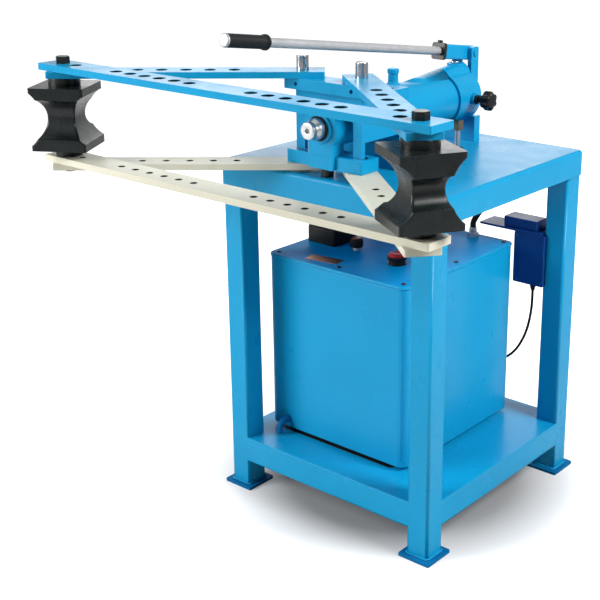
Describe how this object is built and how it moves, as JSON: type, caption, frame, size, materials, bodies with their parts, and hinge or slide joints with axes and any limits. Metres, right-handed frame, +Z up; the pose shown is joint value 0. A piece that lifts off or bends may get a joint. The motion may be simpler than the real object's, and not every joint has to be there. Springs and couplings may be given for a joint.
{
  "type": "pipe bender",
  "caption": "Bench-mounted hydraulic pipe bender: a ram pushes a pipe between two drilled wing frames with square dies, with oil tank and hand lever.",
  "frame": {"origin": "middle of the footprint box, on the floor under the feet", "axes": "+Z up, the ram pushes out along -Y (the machine's front), +X to the right of the machine seen from its front-facing operator side looking along +Y"},
  "size_m": [1.1704, 1.0293, 1.219],
  "materials": {
    "blue_paint": "gloss",
    "dark_blue_paint": "satin",
    "cream_paint": "satin",
    "cast_black": "semi-gloss",
    "polished_steel": "polished",
    "satin_steel": "satin",
    "black_rubber": "matte",
    "black_plastic": "satin",
    "red_plastic": "gloss",
    "brass_metal": "satin"
  },
  "bodies": {
    "root": {"leg_front_left": "blue_paint", "leg_front_right": "blue_paint", "leg_rear_left": "blue_paint", "leg_rear_right": "blue_paint", "shelf": "blue_paint", "table_top": "blue_paint", "tank_shell": "blue_paint", "tank_lid": "blue_paint", "pump_motor": "satin_steel", "gear_pump": "satin_steel", "suction_strainer": "satin_steel", "motor_terminal_box": "black_plastic", "drain_elbow": "dark_blue_paint", "head_base_plate": "blue_paint", "head_top_plate": "blue_paint", "head_casting": "blue_paint", "support_stud": "cast_black", "upper_front_bar": "blue_paint", "upper_diagonal_left": "blue_paint", "upper_diagonal_right": "blue_paint", "lower_front_bar": "cream_paint", "lower_diagonal_left": "cream_paint", "lower_diagonal_right": "cream_paint", "die_bolt_left": "cast_black", "die_bolt_right": "cast_black", "lower_pin_left": "polished_steel", "lower_pin_right": "polished_steel", "cylinder_barrel": "blue_paint", "port_plug": "blue_paint", "gland_ring": "blue_paint", "pump_body": "blue_paint", "lever_pin": "blue_paint", "barrel_elbow": "brass_metal", "riser_pipe": "satin_steel", "lid_fitting": "satin_steel", "oil_hose": "black_rubber", "switch_shelf": "dark_blue_paint", "contactor_box": "dark_blue_paint", "switch_box": "dark_blue_paint", "switch_box_cover": "dark_blue_paint", "cable_entry_housing": "blue_paint", "switch_box_gland": "black_plastic", "tank_gland": "black_plastic", "motor_lead": "black_rubber"},
    "ram": {"ram": "polished_steel"},
    "lever": {"lever_socket": "blue_paint", "lever_tube": "satin_steel", "lever_grip": "black_rubber", "lever_end_cap": "polished_steel", "lever_set_screw": "cast_black"},
    "plunger": {"pump_plunger": "polished_steel"},
    "release_valve": {"release_stem": "cast_black", "release_knob": "black_plastic"},
    "die_left": {"die_left": "cast_black"},
    "die_right": {"die_right": "cast_black"},
    "wing_pin_left": {"wing_pin_left": "polished_steel"},
    "wing_pin_right": {"wing_pin_right": "polished_steel"},
    "filler_cap": {"filler_cap": "red_plastic"},
    "relief_knob": {"relief_knob": "black_plastic"}
  },
  "joints": [
    {"name": "ram_slide", "type": "slide", "parent": "root", "child": "ram", "axis": [0, -1, 0], "range_m": [0, 0.25]},
    {"name": "lever_hinge", "type": "hinge", "parent": "root", "child": "lever", "pos_m": [0, 0.43957, 1.0837], "axis": [-1, 0, 0], "range_deg": [0, 50]},
    {"name": "plunger_slide", "type": "slide", "parent": "root", "child": "plunger", "axis": [0, 0, 1], "range_m": [0, 0.0265]},
    {"name": "release_turn", "type": "hinge", "parent": "root", "child": "release_valve", "pos_m": [0, 0.38357, 0.98], "axis": [1, 0, 0], "range_deg": [0, 360]},
    {"name": "die_left_swivel", "type": "hinge", "parent": "root", "child": "die_left", "pos_m": [-0.5, -0.42843, 0.99], "axis": [0, 0, 1], "continuous": true},
    {"name": "die_right_swivel", "type": "hinge", "parent": "root", "child": "die_right", "pos_m": [0.5, -0.42843, 0.99], "axis": [0, 0, 1], "continuous": true},
    {"name": "wing_pin_left_lift", "type": "slide", "parent": "root", "child": "wing_pin_left", "axis": [0, 0, 1], "range_m": [0, 0.045]},
    {"name": "wing_pin_right_lift", "type": "slide", "parent": "root", "child": "wing_pin_right", "axis": [0, 0, 1], "range_m": [0, 0.045]},
    {"name": "filler_cap_turn", "type": "hinge", "parent": "root", "child": "filler_cap", "pos_m": [0.042, 0.10657, 0.63], "axis": [0, 0, 1], "range_deg": [0, 90]},
    {"name": "relief_knob_turn", "type": "hinge", "parent": "root", "child": "relief_knob", "pos_m": [-0.104, 0.12957, 0.63], "axis": [0, 0, 1], "range_deg": [0, 270]}
  ],
  "couplings": [
    {"joint": "plunger_slide", "follows": "lever_hinge", "m_per_rad": 0.03}
  ]
}
